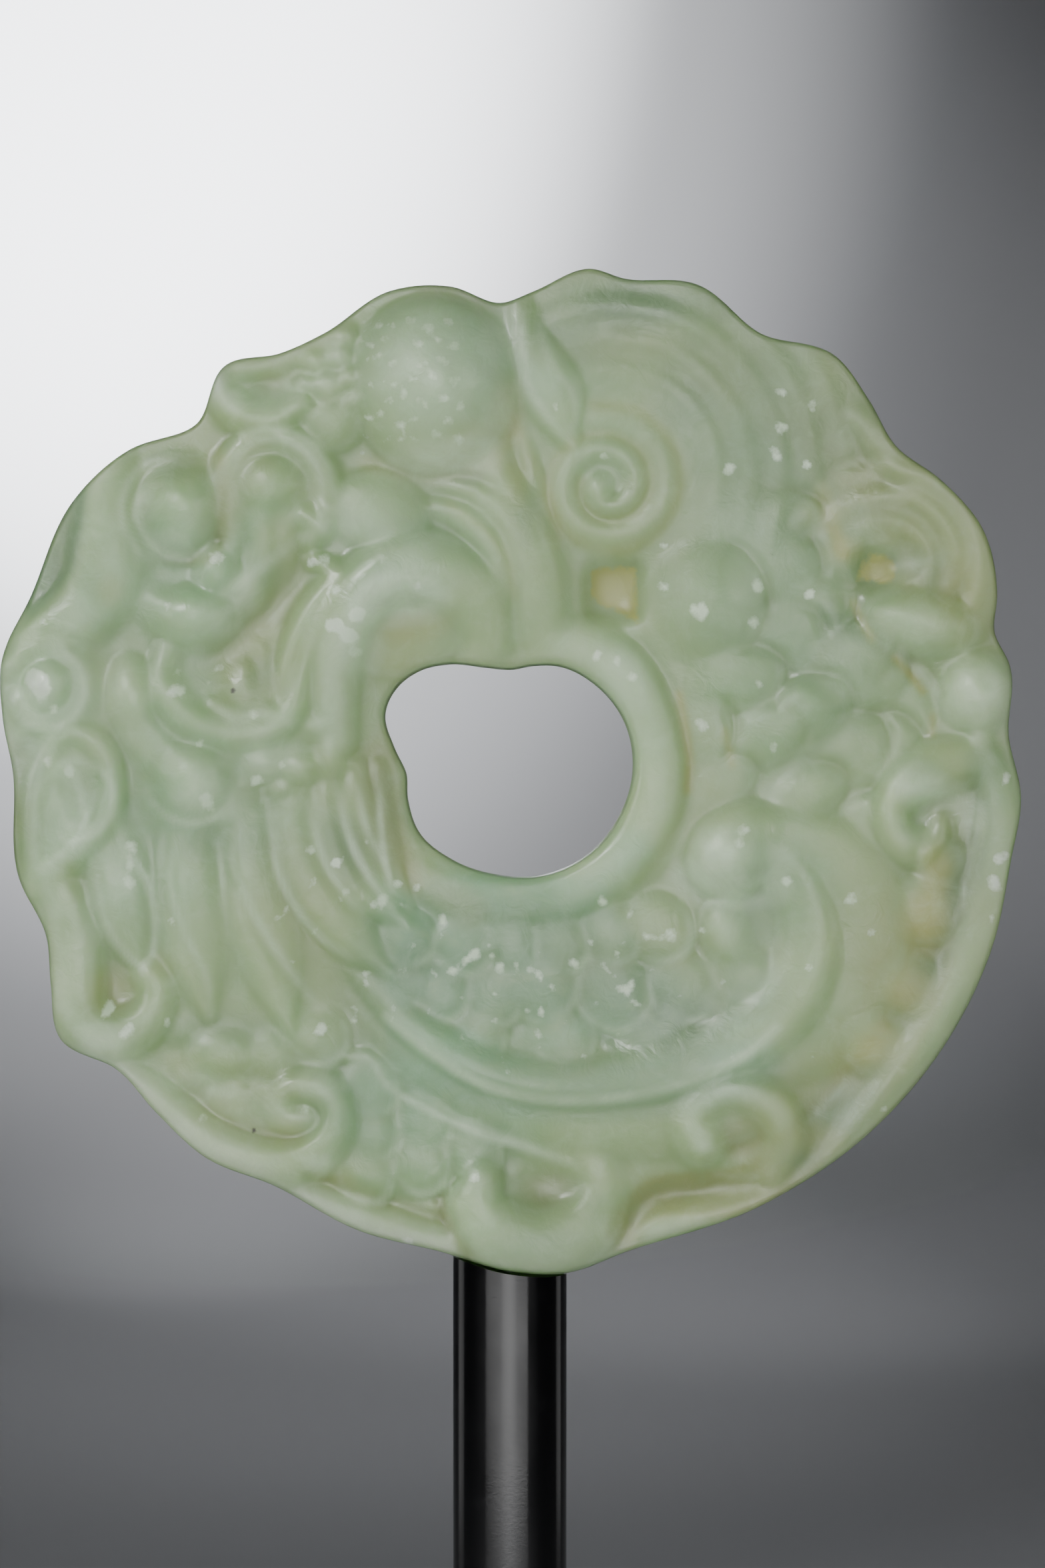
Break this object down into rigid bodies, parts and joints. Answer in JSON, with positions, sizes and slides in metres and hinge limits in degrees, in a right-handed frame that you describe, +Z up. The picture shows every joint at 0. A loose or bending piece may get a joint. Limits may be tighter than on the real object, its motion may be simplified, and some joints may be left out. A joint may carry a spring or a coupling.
{
  "type": "jade belt buckle",
  "caption": "Round carved jade belt buckle with a coiled dragon, a pearl and an off-round hole, held upright by a black rod on a round foot.",
  "frame": {"origin": "centre of the foot's underside", "axes": "+Z up, the carved face looks along -Y, +X to the right of someone who faces the carving"},
  "size_m": [0.0541, 0.05, 0.0876],
  "materials": {
    "jade": "polished",
    "black_gloss": "polished"
  },
  "bodies": {
    "root": {"jade_roundel": "jade", "stand_rod": "black_gloss", "stand_foot": "black_gloss"}
  },
  "joints": []
}
